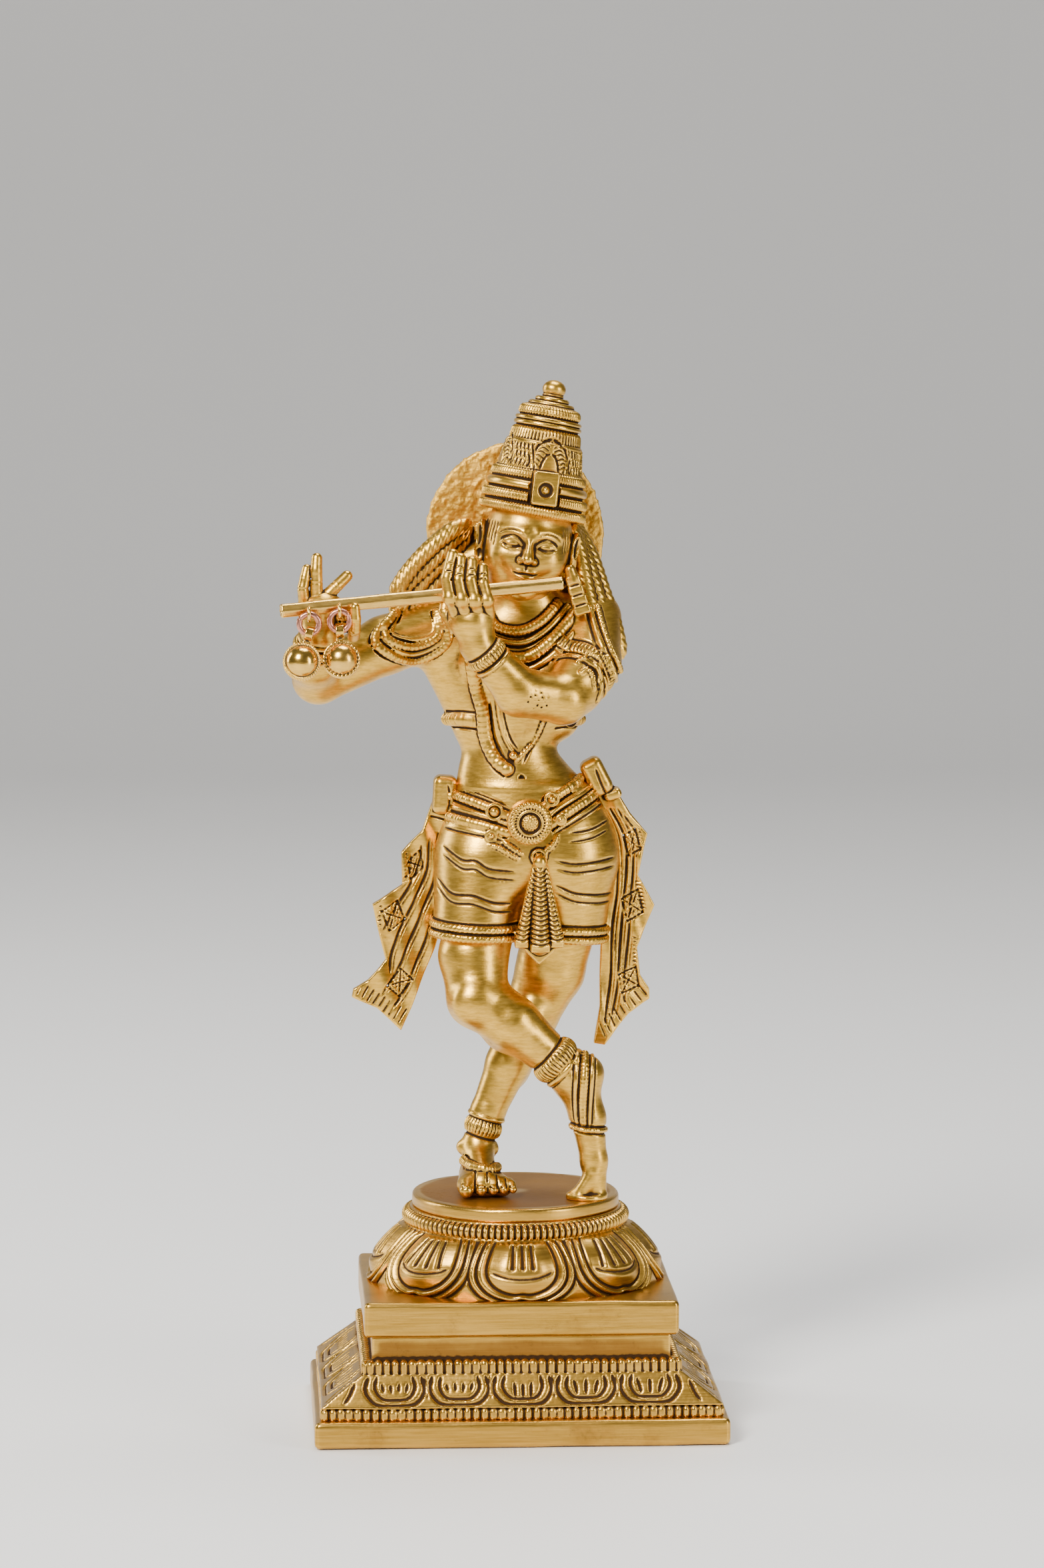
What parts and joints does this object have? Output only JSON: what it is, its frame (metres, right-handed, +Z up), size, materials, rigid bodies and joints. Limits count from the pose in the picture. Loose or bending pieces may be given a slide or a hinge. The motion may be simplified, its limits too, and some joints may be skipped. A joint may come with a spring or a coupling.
{
  "type": "hindu deity statue",
  "caption": "Cast brass figure standing cross-legged and playing a side-blown flute, with a halo, on a stepped lotus base; small jingle bells hang from the flute.",
  "frame": {"origin": "middle of the base's rectangular footprint, on the surface it stands on", "axes": "+Z up, front towards -Y, +X towards the figure's left hand side"},
  "size_m": [0.1288, 0.088, 0.3049],
  "materials": {
    "cast_brass": "hand-chased cast brass, polished on the high spots, dark patina in the cuts",
    "base_brass": "cast brass, filed and brushed, dark patina in the cuts",
    "halo_brass": "rough as-cast brass",
    "flute_brass": "drawn brass rod, filed flats",
    "bell_brass": "pressed brass sheet, bright",
    "copper": "copper wire, dull pink",
    "zinc_steel": "zinc-plated steel"
  },
  "bodies": {
    "root": {"lower_plinth": "base_brass", "lotus_pedestal": "base_brass", "foot_disc": "base_brass", "base_stud": "zinc_steel", "base_washer": "zinc_steel", "base_nut": "zinc_steel", "hips": "cast_brass", "torso": "cast_brass", "standing_leg": "cast_brass", "crossing_leg": "cast_brass", "flute": "flute_brass", "crown": "cast_brass", "head": "cast_brass", "halo_disc": "halo_brass", "left_arm": "cast_brass", "right_arm": "cast_brass", "left_ear_drop": "cast_brass", "right_ear_drop": "cast_brass", "right_sash": "cast_brass", "left_sash": "cast_brass", "belt_medallion": "cast_brass", "waist_tassel": "cast_brass", "flute_eyelets": "copper"},
    "outer_ring": {"outer_ring": "copper"},
    "outer_bell": {"outer_bell_front": "bell_brass", "outer_bell_back": "bell_brass", "outer_bell_loop": "bell_brass"},
    "outer_pellet": {"outer_bell_pellet": "zinc_steel"},
    "inner_ring": {"inner_ring": "copper"},
    "inner_bell": {"inner_bell_front": "bell_brass", "inner_bell_back": "bell_brass", "inner_bell_loop": "bell_brass"},
    "inner_pellet": {"inner_bell_pellet": "zinc_steel"}
  },
  "joints": [
    {"name": "outer_ring_swing", "type": "hinge", "parent": "root", "child": "outer_ring", "pos_m": [-0.06042, -0.0341, 0.24027], "axis": [1, 0, 0], "range_deg": [-45, 4]},
    {"name": "outer_bell_swing", "type": "hinge", "parent": "outer_ring", "child": "outer_bell", "pos_m": [-0.06042, -0.0341, 0.23467], "axis": [1, 0, 0], "range_deg": [-50, 8]},
    {"name": "outer_pellet_roll", "type": "hinge", "parent": "outer_bell", "child": "outer_pellet", "pos_m": [-0.06256, -0.03604, 0.22689], "axis": [0, -0.9703, 0.2419], "range_deg": [-110, 110]},
    {"name": "inner_ring_swing", "type": "hinge", "parent": "root", "child": "inner_ring", "pos_m": [-0.05172, -0.03281, 0.24099], "axis": [1, 0, 0], "range_deg": [-45, 4]},
    {"name": "inner_bell_swing", "type": "hinge", "parent": "inner_ring", "child": "inner_bell", "pos_m": [-0.05172, -0.03281, 0.23539], "axis": [1, 0, 0], "range_deg": [-50, 8]},
    {"name": "inner_pellet_roll", "type": "hinge", "parent": "inner_bell", "child": "inner_pellet", "pos_m": [-0.05129, -0.03482, 0.22735], "axis": [0, -0.9703, 0.2419], "range_deg": [-110, 110]}
  ]
}
